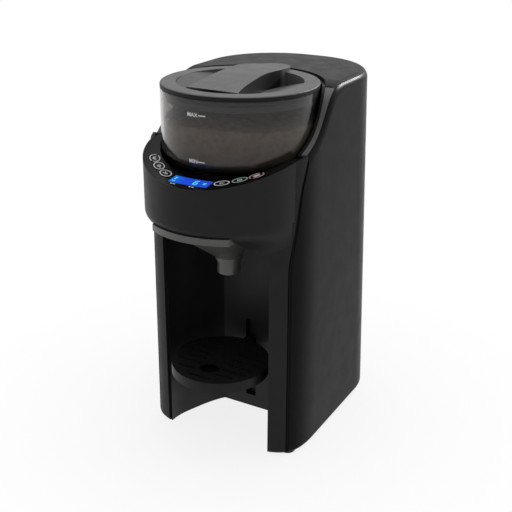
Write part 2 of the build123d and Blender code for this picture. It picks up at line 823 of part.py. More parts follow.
def gear_outline(teeth, phase):
    """Involute spur gear seen from above, one tooth at the phase angle in degrees."""
    pitch = gear_module * teeth / 2
    base = pitch * math.cos(math.radians(20))
    tip = pitch + 0.8 * gear_module
    root = pitch - 1.05 * gear_module
    half_tooth = math.pi / 2 / teeth - gear_backlash / pitch

    def spread(radius):
        grown = max(radius / base, 1.0)
        return math.sqrt(grown**2 - 1) - math.acos(1 / grown)

    flank = []
    for share in (0.0, 0.35, 0.7, 1.0):
        radius = root + 0.4 + (tip - root - 0.4) * share
        flank.append((radius, half_tooth + spread(pitch) - spread(radius)))
    flank[0] = (root - 0.3, flank[0][1])
    turn = math.radians(phase)
    right = [(r * math.cos(turn - a), r * math.sin(turn - a)) for r, a in flank]
    left = [(r * math.cos(turn + a), r * math.sin(turn + a)) for r, a in reversed(flank)]
    with BuildLine() as outline:
        Polyline(*right, *left, close=True)
    with BuildSketch(mode=Mode.PRIVATE) as tooth:
        make_face(outline.edges())
    Circle(root)
    with PolarLocations(0, teeth):
        add(tooth.sketch)


gear_backlash = 0.12
gear_z = deck_z + deck_t + 1.5
centre_distance = gear_module * (gear_teeth + pinion_teeth) / 2
spindle_top_z = wheel_z + wheel_t - 2
gear_gap_phase = 90 + 180 / gear_teeth
with BuildPart() as drive_gear:
    with BuildSketch(above(canister_y, gear_z)):
        gear_outline(gear_teeth, gear_gap_phase)
    extrude(amount=gear_t)
    with BuildSketch(above(canister_y, gear_z + gear_t)):
        Circle(hub_r)
    extrude(amount=5)
    with BuildSketch(above(canister_y, deck_z)):
        Circle(spindle_r)
    extrude(amount=recess_floor_z + 0.5 - deck_z)
    with BuildSketch(above(canister_y, recess_floor_z)):
        RegularPolygon(hex_across / 2, 6, major_radius=False)
    extrude(amount=spindle_top_z - recess_floor_z)
save(drive_gear.part, "drive_gear")

pinion_shaft_r = 2.5
with BuildPart() as motor_pinion:
    with BuildSketch(above(canister_y + centre_distance, gear_z)):
        gear_outline(pinion_teeth, -90)
    extrude(amount=pinion_t)
    with BuildSketch(above(canister_y + centre_distance, gear_z - 12)):
        Circle(pinion_shaft_r)
    extrude(amount=14)
save(motor_pinion.part, "motor_pinion")

with BuildPart() as dosing_motor:
    with BuildSketch(above(canister_y + centre_distance, deck_z - motor_h)):
        Circle(motor_r)
    extrude(amount=motor_h)
    with BuildSketch(above(canister_y + centre_distance, deck_z - motor_h - 6)):
        Circle(8)
    extrude(amount=6)
    with BuildSketch(above(canister_y + centre_distance, gear_z - 12.5)):
        Circle(pinion_shaft_r + running_gap)
    extrude(amount=20, mode=Mode.SUBTRACT)
save(dosing_motor.part, "dosing_motor")

# ---------------------------------------------------------------- gear deck with the funnel's rails
deck_back = 78.0
pipe_r = 3.0
pipe_x = 50.0
pipe_y = 60.0
nozzle_x = 24.0
nozzle_y = -30.0
flange_top_z = head_floor_z - gap
flange_low_z = flange_top_z - flange_t
flange_half = notch_half - 0.5
rail_lip_t = 2.5
funnel_back = 8.0
funnel_rail_w = 2.4
funnel_rail_l = 88.0
funnel_rail_y = funnel_back + 2 - funnel_rail_l / 2
with BuildPart() as gear_deck:
    with BuildSketch(above(canister_y, deck_z)):
        Rectangle(2 * width, 2 * deck_back)
        with Locations((0, -deck_back)):
            Rectangle(2 * width, deck_back)
    extrude(amount=deck_t)
    for side in (1, -1):
        with BuildSketch(above(canister_y, flange_low_z - gap - rail_lip_t)):
            with Locations((side * (flange_half + gap + funnel_rail_w / 2), funnel_rail_y)):
                Rectangle(funnel_rail_w, funnel_rail_l)
        extrude(amount=deck_z - flange_low_z + gap + rail_lip_t)
        with BuildSketch(above(canister_y, flange_low_z - gap - rail_lip_t)):
            with Locations((side * (flange_half + gap - 1), funnel_rail_y)):
                Rectangle(4, funnel_rail_l)
        extrude(amount=rail_lip_t)
    add(inside.part, mode=Mode.INTERSECT)
    with BuildSketch(above(canister_y, deck_z)):
        with Locations((0, -chamber_circle_r)):
            Circle(chute_r)
        Circle(spindle_r + running_gap)
        with Locations((0, centre_distance)):
            Circle(pinion_shaft_r + 0.5)
        with Locations((pipe_x, pipe_y)):
            Circle(pipe_r + gap)
        with Locations((nozzle_x, nozzle_y)):
            Circle(pipe_r + 2 + running_gap)
    extrude(amount=deck_t, mode=Mode.SUBTRACT)
save(gear_deck.part, "gear_deck")

# ---------------------------------------------------------------- mixing funnel
inlet_y = -50.0
inlet_rx = 37.0
inlet_ry = 44.0
funnel_wall = 2.0
with BuildPart() as funnel_cavity:
    with BuildSketch(above(canister_y, flange_low_z)):
        with Locations((0, inlet_y)):
            Ellipse(inlet_rx - funnel_wall, inlet_ry - funnel_wall)
    with BuildSketch(above(canister_y, spout_top_z)):
        with Locations((0, -bottle_reach)):
            Circle(spout_r - spout_wall)
    loft()
    with BuildSketch(above(canister_y, flange_low_z)):
        with Locations((0, inlet_y)):
            Ellipse(inlet_rx - funnel_wall, inlet_ry - funnel_wall)
    extrude(amount=flange_t)
    with BuildSketch(above(canister_y, spout_bottom_z)):
        with Locations((0, -bottle_reach)):
            Circle(spout_r - spout_wall)
    extrude(amount=spout_top_z - spout_bottom_z)

with BuildPart() as funnel:
    with BuildSketch(above(canister_y, flange_low_z)):
        with Locations((0, inlet_y)):
            Ellipse(inlet_rx, inlet_ry)
    with BuildSketch(above(canister_y, spout_top_z)):
        with Locations((0, -bottle_reach)):
            Circle(spout_r + 2)
    loft()
    with BuildSketch(above(canister_y, flange_low_z)):
        with Locations((0, -bottle_reach)):
            Circle(head_r - 0.5)
        with Locations((0, funnel_back - 75)):
            Rectangle(2 * flange_half, 150, mode=Mode.INTERSECT)
    extrude(amount=flange_t)
    with BuildSketch(above(canister_y, spout_bottom_z)):
        with Locations((0, -bottle_reach)):
            Circle(spout_r)
    extrude(amount=spout_top_z - spout_bottom_z)
    with BuildSketch(above(canister_y, spout_top_z - 3)):
        with Locations((0, -bottle_reach)):
            Circle(spout_r + 2)
    extrude(amount=3)
    add(funnel_cavity.part, mode=Mode.SUBTRACT)
save(funnel.part, "funnel")

# ---------------------------------------------------------------- height rail, drip tray and grille
rail_half = 14.0
rail_t = 7.0
head_slot_half = 10.0
head_slot_t = 3.6
with BuildPart() as tray_rail:
    with BuildSketch(above(canister_y, foot_h + base_t)):
        with Locations((0, bay_back + liner_t + rail_t / 2)):
            Rectangle(2 * rail_half, rail_t)
    extrude(amount=rail_high_z + 6 - foot_h - base_t)
    with BuildSketch(above(canister_y, rail_low_z)):
        with Locations((0, bay_back + liner_t + 1 + head_slot_t / 2)):
            Rectangle(2 * head_slot_half, head_slot_t)
        with Locations((0, bay_back + liner_t + 1)):
            Rectangle(2 * slot_half, 4)
    extrude(amount=rail_high_z - rail_low_z, mode=Mode.SUBTRACT)
save(tray_rail.part, "tray_rail")

with BuildPart() as drip_tray:
    with BuildSketch(above(tray_y, tray_top_z - tray_t)):
        Circle(tray_r)
    extrude(amount=tray_t)
    with BuildSketch(above(tray_y, tray_top_z - tray_t + 2)):
        Circle(tray_r - 4)
    extrude(amount=tray_t, mode=Mode.SUBTRACT)
    with BuildSketch(above(tray_y, tray_top_z - grille_t - 0.3)):
        Circle(tray_r - 2)
    extrude(amount=tray_t, mode=Mode.SUBTRACT)
    with BuildSketch(above(canister_y, arm_low_z)):
        with Locations((0, bay_back + liner_t + 1.3 + (head_slot_t - 0.6) / 2)):
            Rectangle(2 * (head_slot_half - 0.3), head_slot_t - 0.6)
        with Locations((0, (bay_back + liner_t + 1.6 + tray_r - tray_offset - 2) / 2)):
            Rectangle(2 * (slot_half - 0.3), bay_back + liner_t + 1.6 - tray_r + tray_offset + 2)
    extrude(amount=arm_h)
    with BuildSketch(above(tray_y, tray_top_z - tray_t - 4)):
        Circle(tray_r - 14)
    extrude(amount=4)
save(drip_tray.part, "drip_tray")

grille_r = tray_r - 2.3
row_count = 8
row_front = -40.0
row_reach = 43.0
row_inner = 12.0
finger_hole_y = -21.0
with BuildPart() as drip_grille:
    with BuildSketch(above(tray_y, tray_top_z - grille_t)):
        Circle(grille_r)
        for row in range(row_count):
            y = row_front + row * slot_pitch
            reach = math.sqrt(row_reach**2 - y**2)
            if reach - row_inner > 3 * slot_w:
                for side in (1, -1):
                    with Locations((side * (reach + row_inner) / 2, y)):
                        SlotOverall(reach - row_inner, slot_w, mode=Mode.SUBTRACT)
            else:
                with Locations((0, y)):
                    SlotOverall(2 * reach - 6, slot_w, mode=Mode.SUBTRACT)
        with Locations((0, finger_hole_y)):
            Circle(grille_hole_r, mode=Mode.SUBTRACT)
    extrude(amount=grille_t)
save(drip_grille.part, "drip_grille")

# ---------------------------------------------------------------- water tank, its valve and its lid
valve_y = 122.0
valve_r = 9.0
stem_r = 3.0


def tank_block(inset, low, high):
    """Straight-sided block of the tank, moved in from its outer skin by inset."""
    with BuildPart() as block:
        with BuildSketch(above(canister_y, low)):
            edge = tank_inset + inset
            column_outline(top_half - edge, top_back_reach - edge, top_half - edge - top_flat, leg_reach)
            with Locations((0, tank_front + inset - width)):
                Rectangle(2 * width, 2 * width, mode=Mode.SUBTRACT)
            fillet(vertices().group_by(Axis.Y)[0], tank_corner_r - inset)
        extrude(amount=high - low)
    return block.part


with BuildPart() as water_tank:
    add(tank_block(0, tank_bottom_z, tank_rim_z))
    add(tank_block(tank_wall, tank_bottom_z + tank_wall, tank_rim_z + 1), mode=Mode.SUBTRACT)
    with BuildSketch(above(canister_y, tank_bottom_z - 8)):
        with Locations((0, valve_y)):
            Circle(valve_r + 2)
            Circle(valve_r, mode=Mode.SUBTRACT)
    extrude(amount=8)
    with BuildSketch(above(canister_y, tank_bottom_z)):
        with Locations((0, valve_y)):
            Circle(stem_r + 2.5)
    extrude(amount=tank_wall, mode=Mode.SUBTRACT)
save(water_tank.part, "water_tank")

with BuildPart() as tank_valve:
    with BuildSketch(above(canister_y, tank_bottom_z + tank_wall + 0.3)):
        with Locations((0, valve_y)):
            Circle(stem_r + 5)
    extrude(amount=2.5)
    with BuildSketch(above(canister_y, tank_bottom_z - 9)):
        with Locations((0, valve_y)):
            Circle(stem_r)
    extrude(amount=9 + tank_wall + 1.3)
save(tank_valve.part, "tank_valve")

with BuildPart() as tank_socket:
    with BuildSketch(above(canister_y, foot_h + base_t)):
        with Locations((0, valve_y)):
            Circle(valve_r + 5)
    extrude(amount=tank_bottom_z - 18 - foot_h - base_t)
    with BuildSketch(above(canister_y, tank_bottom_z - 18)):
        with Locations((0, valve_y)):
            Circle(valve_r + 5)
            Circle(valve_r + 2.5, mode=Mode.SUBTRACT)
    extrude(amount=14)
save(tank_socket.part, "tank_socket")

cover_hole_r = nest_r + nest_wall + gap
with BuildPart() as tank_lid:
    add(column(wall + gap, height - 30, height))
    add(skin.part, mode=Mode.INTERSECT)
    with Locations((0, canister_y + trim_back + gap - width, height)):
        Box(2 * width, 2 * width, height, mode=Mode.SUBTRACT)
    add(over_cheek(cover_t), mode=Mode.INTERSECT)
    with BuildSketch(above(canister_y, height / 2)):
        Circle(cover_hole_r)
    extrude(amount=height, mode=Mode.SUBTRACT)
save(tank_lid.part, "tank_lid")

# ---------------------------------------------------------------- heater, pump, water pipe and inlet
heater_h = 49.0
heater_w = 60.0
heater_x = 28.0
heater_y = 72.0
with BuildPart() as water_heater:
    with BuildSketch(above(canister_y, foot_h + base_t)):
        with Locations((heater_x, heater_y)):
            RectangleRounded(heater_w, heater_w, 8)
    extrude(amount=heater_h)
save(water_heater.part, "water_heater")

pump_r = 20.0
pump_h = 40.0
pump_x = -38.0
pump_head_r = 9.0
pump_head_h = 8.0
with BuildPart() as water_pump:
    with BuildSketch(above(canister_y, foot_h + base_t)):
        with Locations((pump_x, heater_y)):
            Circle(pump_r)
    extrude(amount=pump_h)
    with BuildSketch(above(canister_y, foot_h + base_t + pump_h)):
        with Locations((pump_x, heater_y)):
            Circle(pump_head_r)
    extrude(amount=pump_head_h)
save(water_pump.part, "water_pump")

pipe_z = deck_z + 10
with BuildPart() as water_pipe:
    with BuildLine() as pipe_route:
        low = foot_h + base_t + heater_h
        FilletPolyline(
            (pipe_x, canister_y + pipe_y, low),
            (pipe_x, canister_y + pipe_y, pipe_z),
            (pipe_x, canister_y + nozzle_y, pipe_z),
            (nozzle_x, canister_y + nozzle_y, pipe_z),
            (nozzle_x, canister_y + nozzle_y, deck_z),
            radius=5,
        )
    with BuildSketch(above(canister_y, low)):
        with Locations((pipe_x, pipe_y)):
            Circle(pipe_r)
    sweep(path=pipe_route.wire())
save(water_pipe.part, "water_pipe")

with BuildPart() as water_nozzle:
    with BuildSketch(above(canister_y, deck_z)):
        with Locations((nozzle_x, nozzle_y)):
            Circle(pipe_r + 2)
            Circle(pipe_r + running_gap, mode=Mode.SUBTRACT)
    extrude(amount=4)
save(water_nozzle.part, "water_nozzle")

inlet_depth = 24.0
inlet_front = back_reach - 26
with BuildPart() as power_inlet:
    with BuildSketch(Plane.XZ.offset(-canister_y - inlet_front)):
        with Locations((0, inlet_z)):
            RectangleRounded(inlet_w, inlet_h, 3)
    extrude(amount=-inlet_depth)
    with BuildSketch(Plane.XZ.offset(-canister_y - inlet_front - inlet_depth)):
        with Locations((0, inlet_z)):
            RectangleRounded(inlet_w - 6, inlet_h - 6, 2)
    extrude(amount=16, mode=Mode.SUBTRACT)
save(power_inlet.part, "power_inlet")

with BuildPart() as inlet_pins:
    with BuildSketch(Plane.XZ.offset(-canister_y - inlet_front - 8)):
        with Locations((-7, inlet_z - 2), (0, inlet_z + 3), (7, inlet_z - 2)):
            Rectangle(2, 4)
    extrude(amount=-12)
save(inlet_pins.part, "inlet_pins")
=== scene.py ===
"""Looks for the baby formula maker: materials, powder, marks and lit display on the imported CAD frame."""
import math

import bmesh
import bpy
from mathutils import Matrix, Vector, noise
from mathutils.bvhtree import BVHTree


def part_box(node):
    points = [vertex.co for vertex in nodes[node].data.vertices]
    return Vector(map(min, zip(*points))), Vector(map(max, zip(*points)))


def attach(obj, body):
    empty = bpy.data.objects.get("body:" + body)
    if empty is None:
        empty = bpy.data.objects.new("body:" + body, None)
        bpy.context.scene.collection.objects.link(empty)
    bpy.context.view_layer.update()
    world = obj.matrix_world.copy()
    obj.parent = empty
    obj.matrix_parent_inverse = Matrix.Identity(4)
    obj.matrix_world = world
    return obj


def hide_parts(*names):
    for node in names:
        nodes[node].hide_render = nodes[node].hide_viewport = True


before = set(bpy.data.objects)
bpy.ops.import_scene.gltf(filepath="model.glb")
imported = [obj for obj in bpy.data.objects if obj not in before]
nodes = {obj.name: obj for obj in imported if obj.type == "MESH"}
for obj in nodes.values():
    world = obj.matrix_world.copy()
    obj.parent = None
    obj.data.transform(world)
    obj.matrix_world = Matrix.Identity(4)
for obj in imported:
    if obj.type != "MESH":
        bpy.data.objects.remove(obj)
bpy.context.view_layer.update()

mm = 0.001
CANISTER_Y = -34.75 * mm  # canister axis in the row frame
CANISTER_R = 75 * mm
BOTTLE_REACH = 22.5 * mm  # bottle axis in front of the canister axis; the buttons stand round it
DARK_AT, LIGHT_AT = 0.3, 0.7  # noise values where a material reaches its darkest and lightest tone
scene = bpy.context.scene


# ---------------------------------------------------------------- small helpers
def srgb(value):
    """Linear value of an 8-bit grey."""
    v = value / 255.0
    return v / 12.92 if v <= 0.04045 else ((v + 0.055) / 1.055) ** 2.4


def grey(value, warm=0.0):
    """Linear RGB of an 8-bit grey, a little warm or cool."""
    return (srgb(value * (1 + warm)), srgb(value), srgb(value * (1 - warm)), 1.0)


class Shader:
    """A node material with one Principled shader, built node by node."""

    def __init__(self, name):
        self.material = bpy.data.materials.new(name)
        self.material.use_nodes = True
        self.tree = self.material.node_tree
        self.tree.nodes.clear()
        self.out = self.tree.nodes.new("ShaderNodeOutputMaterial")
        self.main = self.tree.nodes.new("ShaderNodeBsdfPrincipled")
        self.link(self.main.outputs[0], self.out.inputs["Surface"])
        self.coords = None

    def link(self, a, b):
        self.tree.links.new(a, b)

    def put(self, **values):
        for key, value in values.items():
            self.main.inputs[key.replace("_", " ")].default_value = value

    def where(self):
        if self.coords is None:
            self.coords = self.tree.nodes.new("ShaderNodeTexCoord")
        return self.coords.outputs["Object"]

    def noise(self, scale, detail=4.0, rough=0.6, stretch=None):
        node = self.tree.nodes.new("ShaderNodeTexNoise")
        node.inputs["Scale"].default_value = scale
        node.inputs["Detail"].default_value = detail
        node.inputs["Roughness"].default_value = rough
        source = self.where()
        if stretch:
            mapping = self.tree.nodes.new("ShaderNodeMapping")
            mapping.inputs["Scale"].default_value = stretch
            self.link(source, mapping.inputs["Vector"])
            source = mapping.outputs["Vector"]
        self.link(source, node.inputs["Vector"])
        return node.outputs["Fac"]

    def ramp(self, fac, stops):
        node = self.tree.nodes.new("ShaderNodeValToRGB")
        node.color_ramp.elements.remove(node.color_ramp.elements[1])
        first = node.color_ramp.elements[0]
        first.position, first.color = stops[0]
        for place, colour in stops[1:]:
            node.color_ramp.elements.new(place).color = colour
        self.link(fac, node.inputs["Fac"])
        return node.outputs["Color"]

    def spread(self, fac, low, high, from_low=DARK_AT, from_high=LIGHT_AT):
        """Values from_low to from_high stretched to low to high, and held at the ends."""
        node = self.tree.nodes.new("ShaderNodeMapRange")
        node.inputs["From Min"].default_value = from_low
        node.inputs["From Max"].default_value = from_high
        node.inputs["To Min"].default_value = low
        node.inputs["To Max"].default_value = high
        self.link(fac, node.inputs["Value"])
        return node.outputs["Result"]

    def blend(self, fac, first, second):
        node = self.tree.nodes.new("ShaderNodeMix")
        node.data_type = "RGBA"
        self.link(fac, node.inputs[0])
        self.link(first, node.inputs[6])
        self.link(second, node.inputs[7])
        return node.outputs[2]

    def combine(self, operation, first, second):
        """Arithmetic on two values."""
        node = self.tree.nodes.new("ShaderNodeMath")
        node.operation = operation
        self.link(first, node.inputs[0])
        self.link(second, node.inputs[1])
        return node.outputs[0]

    def across(self, axis):
        """The place along one axis of the object, as X, Y or Z."""
        parts = self.tree.nodes.new("ShaderNodeSeparateXYZ")
        self.link(self.where(), parts.inputs[0])
        return parts.outputs[axis]

    def upward(self, low, high):
        """0 where the surface is steeper than low, 1 where it faces up more than high."""
        normal = self.tree.nodes.new("ShaderNodeNewGeometry")
        parts = self.tree.nodes.new("ShaderNodeSeparateXYZ")
        self.link(normal.outputs["Normal"], parts.inputs[0])
        return self.spread(parts.outputs["Z"], 0.0, 1.0, low, high)

    def bump(self, fac, strength, depth):
        node = self.tree.nodes.new("ShaderNodeBump")
        node.inputs["Strength"].default_value = strength
        node.inputs["Distance"].default_value = depth
        self.link(fac, node.inputs["Height"])
        last = self.main.inputs["Normal"]
        if last.is_linked:
            self.link(last.links[0].from_socket, node.inputs["Normal"])
        self.link(node.outputs["Normal"], last)


LID_POCKET_WALL = (50 * mm, 56 * mm)  # the lid's outer pocket wall lies from here outwards
LID_RIM = (73.5 * mm, 74.5 * mm)  # the rim's own side starts here


def lid_free_of_painted_shade(shader):
    """Painted shade mask: 0 on the grip bar's sloping flanks and the rim's side, where a darker tone is painted as
    shade, 1 on the rest of the lid.
    """
    tree = shader.tree
    flat = tree.nodes.new("ShaderNodeVectorMath")
    flat.operation = "MULTIPLY"
    flat.inputs[1].default_value = (1, 1, 0)
    shader.link(shader.where(), flat.inputs[0])
    from_axis = tree.nodes.new("ShaderNodeVectorMath")
    from_axis.operation = "DISTANCE"
    from_axis.inputs[1].default_value = (0, CANISTER_Y, 0)
    shader.link(flat.outputs[0], from_axis.inputs[0])
    reach = from_axis.outputs["Value"]
    outer_wall = shader.spread(reach, 0.0, 1.0, *LID_POCKET_WALL)
    inside_rim = shader.spread(reach, 1.0, 0.0, *LID_RIM)
    return shader.combine("MAXIMUM", shader.combine("MULTIPLY", outer_wall, inside_rim), shader.upward(0.5, 0.75))


def plastic(name, tone, rough=0.45, grain=0.12, grain_scale=2200.0, warm=0.0, spec=0.3, vary=0.06,
            painted_shade_tone=None):
    """Moulded plastic: fine spark-eroded grain, faint cloudy change of tone and gloss, and, when a shade tone is
    given, a darker painted shade on the lid's upright faces.
    """
    shader = Shader(name)
    cloud = shader.noise(22.0, 3.0)
    dark, light = grey(tone * (1 - vary), warm), grey(tone * (1 + vary), warm)
    colour = shader.ramp(cloud, [(DARK_AT, dark), (LIGHT_AT, light)])
    # painted shade: a darker tone on the lid's upright flanks and rim side, standing in for the shade they fall in
    if painted_shade_tone:
        dark, light = grey(painted_shade_tone * (1 - vary), warm), grey(painted_shade_tone, warm)
        painted_shade_colour = shader.ramp(cloud, [(DARK_AT, dark), (LIGHT_AT, light)])
        colour = shader.blend(lid_free_of_painted_shade(shader), painted_shade_colour, colour)
    shader.link(colour, shader.main.inputs["Base Color"])
    smudge = shader.noise(60.0, 5.0)
    shader.link(shader.spread(smudge, rough * 0.88, min(1.0, rough * 1.12)), shader.main.inputs["Roughness"])
    shader.put(Specular_IOR_Level=spec)
    if grain:
        shader.bump(shader.noise(grain_scale, 2.0, 0.5), grain, 0.06 * mm)
    return shader.material


def clear(name, tint, rough, ior=1.49):
    """Clear or tinted moulded plastic with faint flow streaks."""
    shader = Shader(name)
    shader.put(Transmission_Weight=1.0, IOR=ior)
    cloud = shader.noise(18.0, 3.0, stretch=(1, 1, 0.25))
    darker = tuple(c * 0.96 for c in tint[:3]) + (1.0,)
    shader.link(shader.ramp(cloud, [(DARK_AT, darker), (LIGHT_AT, tint)]), shader.main.inputs["Base Color"])
    shader.link(shader.spread(shader.noise(90.0, 4.0), rough * 0.7, rough * 1.3), shader.main.inputs["Roughness"])
    shader.bump(shader.noise(40.0, 2.0, 0.5, stretch=(1, 1, 0.2)), 0.02, 0.4 * mm)
    return shader.material


def steel(name, tone, rough=0.3):
    """Drawn or brushed steel with fine lines."""
    shader = Shader(name)
    shader.put(Metallic=1.0)
    lines = shader.noise(900.0, 3.0, 0.7, stretch=(1, 1, 0.04))
    colour = shader.ramp(lines, [(DARK_AT, grey(tone * 0.92)), (LIGHT_AT, grey(tone))])
    shader.link(colour, shader.main.inputs["Base Color"])
    shader.link(shader.spread(lines, rough * 0.8, rough * 1.3), shader.main.inputs["Roughness"])
    shader.bump(lines, 0.08, 0.05 * mm)
    return shader.material


# ---------------------------------------------------------------- materials
# fascia, side cover and top cover are one plastic: their different tones are painted shade, each set to how the
# lamps light the front, the side and the top
fascia_mat = plastic("fascia_plastic", 31, rough=0.44, grain=0.10, spec=0.12)
side_painted_shade_mat = plastic("side_plastic", 18, rough=0.36, grain=0.12, spec=0.05)
cover_painted_shade_mat = plastic("cover_plastic", 26, rough=0.46, grain=0.10, spec=0.08)
# the lid's upright flanks and rim side carry painted shade, tone 16 against the lid's 92
lid_mat = plastic("lid_plastic", 92, rough=0.5, grain=0.10, spec=0.15, painted_shade_tone=16)
bay_mat = plastic("bay_plastic", 24, rough=0.42, grain=0.12, spec=0.25)
# cheek trim: its own mid grey, raised with painted sheen to the brightness of the reflection it shows
trim_painted_sheen_mat = plastic("trim_plastic", 92, rough=0.34, grain=0.0, spec=0.2)
nest_mat = plastic("nest_plastic", 20, rough=0.4, grain=0.06, spec=0.15)
panel_mat = plastic("panel_gloss", 7, rough=0.1, grain=0.0, spec=0.08, vary=0.03)
button_mat = plastic("button_gloss", 9, rough=0.14, grain=0.0, spec=0.08, vary=0.03)
ring_mat = plastic("ring_plastic", 120, rough=0.4, grain=0.04, warm=-0.08)
seal_mat = plastic("seal_rubber", 84, rough=0.7, grain=0.1, warm=-0.04)
tray_mat = plastic("tray_plastic", 26, rough=0.42, grain=0.12, spec=0.14)
inner_mat = plastic("inner_plastic", 70, rough=0.55, grain=0.08)
wheel_mat = plastic("wheel_plastic", 190, rough=0.45, grain=0.05)
gear_mat = plastic("gear_plastic", 214, rough=0.4, grain=0.04, warm=0.02)
rubber_mat = plastic("foot_rubber", 26, rough=0.85, grain=0.25, grain_scale=1400.0)
hose_mat = plastic("hose_silicone", 205, rough=0.5, grain=0.05)
steel_mat = steel("brushed_steel", 190)
smoky_mat = clear("canister_smoky", (0.37, 0.35, 0.33, 1.0), rough=0.03, ior=1.38)
tank_mat = clear("tank_clear", (0.86, 0.89, 0.92, 1.0), rough=0.05)

funnel = Shader("funnel_frosted")
funnel.put(Transmission_Weight=0.35, IOR=1.45, Coat_Weight=0.35, Coat_Roughness=0.12)
funnel.link(
    funnel.ramp(funnel.noise(26.0, 3.0), [(DARK_AT, (0.075, 0.076, 0.068, 1)), (LIGHT_AT, (0.10, 0.10, 0.09, 1))]),
    funnel.main.inputs["Base Color"],
)
funnel.link(funnel.spread(funnel.noise(80.0, 4.0), 0.36, 0.5), funnel.main.inputs["Roughness"])
funnel.bump(funnel.noise(1600.0, 2.0), 0.1, 0.05 * mm)

board = Shader("circuit_board")
board.link(
    board.ramp(board.noise(160.0, 2.0), [(0.42, (0.01, 0.06, 0.03, 1)), (0.58, (0.02, 0.11, 0.05, 1))]),
    board.main.inputs["Base Color"],
)
board.put(Roughness=0.35)

lcd = Shader("display_glass")
left_to_right = lcd.spread(lcd.across("X"), 0.0, 1.0, -20 * mm, 20 * mm)
lcd_colour = lcd.ramp(
    left_to_right,
    [(0.0, (0.01, 0.17, 0.80, 1)), (0.35, (0.012, 0.075, 0.80, 1)), (1.0, (0.02, 0.08, 0.62, 1))],
)
lcd.link(lcd_colour, lcd.main.inputs["Emission Color"])
lcd.put(Emission_Strength=0.85, Base_Color=(0.002, 0.004, 0.02, 1), Roughness=0.1, Specular_IOR_Level=0.08)

by_node = {
    "front_fascia": fascia_mat, "side_cover": side_painted_shade_mat, "base_plate": inner_mat, "rubber_feet": rubber_mat,
    "housing_screws": steel_mat, "screw_posts": inner_mat, "bay_liner": bay_mat, "nest": nest_mat,
    "wheel_cup": inner_mat, "powder_chute": inner_mat, "canister_base": smoky_mat, "canister_floor": smoky_mat,
    "cheek_trim": trim_painted_sheen_mat, "control_panel": panel_mat, "display_lens": lcd.material,
    "display_module": board.material, "circuit_board": board.material, "button_switches": steel_mat,
    "gear_deck": inner_mat, "dosing_motor": steel_mat, "water_pump": inner_mat, "water_heater": steel_mat,
    "water_pipe": hose_mat, "water_nozzle": inner_mat, "tank_socket": inner_mat, "power_inlet": inner_mat,
    "inlet_pins": steel_mat, "tray_rail": bay_mat, "canister": smoky_mat, "dosing_wheel": wheel_mat,
    "stirrer": wheel_mat, "drive_gear": gear_mat, "motor_pinion": steel_mat, "lid_seal": seal_mat,
    "canister_lid": lid_mat, "lid_lock_ring": ring_mat, "water_tank": tank_mat, "tank_valve": inner_mat,
    "tank_lid": cover_painted_shade_mat, "funnel": funnel.material, "drip_tray": tray_mat, "drip_grille": tray_mat,
}
for name, node in nodes.items():
    if name != "powder_fill":  # the powder heap takes its place
        node.data.materials.clear()
        node.data.materials.append(button_mat if name.endswith("_button") else by_node[name])


# ---------------------------------------------------------------- powder in the canister
POWDER_R = CANISTER_R - 2.9 * mm
POWDER_TOP = 335.2 * mm
POWDER_SHADES = (300 * mm, 338 * mm)  # dark below, pale above
POWDER_RINGS, POWDER_STEPS = 46, 220
POWDER_SIDE = [  # radius and height, from the top edge down the canister's wall and round corner
    (POWDER_R, 330.0 * mm), (POWDER_R, 325.0 * mm), (POWDER_R, 306.5 * mm),
    (71.2 * mm, 301.8 * mm), (68.5 * mm, 298.5 * mm), (64.0 * mm, 296.6 * mm),
]


def powder_shader():
    """Brownish grains with lumps, darker towards the bottom."""
    shader = Shader("powder_grains")
    fine = shader.noise(900.0, 4.0, 0.7)
    lumps = shader.noise(140.0, 5.0, 0.65)
    upper_colour = shader.ramp(
        lumps, [(0.3, (0.46, 0.37, 0.30, 1)), (0.55, (0.66, 0.56, 0.48, 1)), (0.8, (0.76, 0.68, 0.60, 1))]
    )
    lower_colour = shader.ramp(lumps, [(DARK_AT, (0.09, 0.075, 0.06, 1)), (LIGHT_AT, (0.14, 0.118, 0.095, 1))])
    depth = shader.spread(shader.across("Z"), 0.0, 1.0, *POWDER_SHADES)
    shader.link(shader.blend(depth, lower_colour, upper_colour), shader.main.inputs["Base Color"])
    shader.put(Roughness=0.95)
    shader.bump(lumps, 0.5, 1.2 * mm)
    shader.bump(fine, 0.5, 0.3 * mm)
    return shader.material


def powder_height(x, y):
    """Height of the uneven top: small lumps on a low wave that falls to the right."""
    lump = noise.fractal(Vector((x * 60, y * 60, 3.1)) * 3.2, 0.9, 2.1, 5) * 1.6 * mm
    wave = 1.6 * mm * math.sin(x * 38 + 1.2) - 12 * mm * x * abs(x) / POWDER_R
    return POWDER_TOP + wave + lump


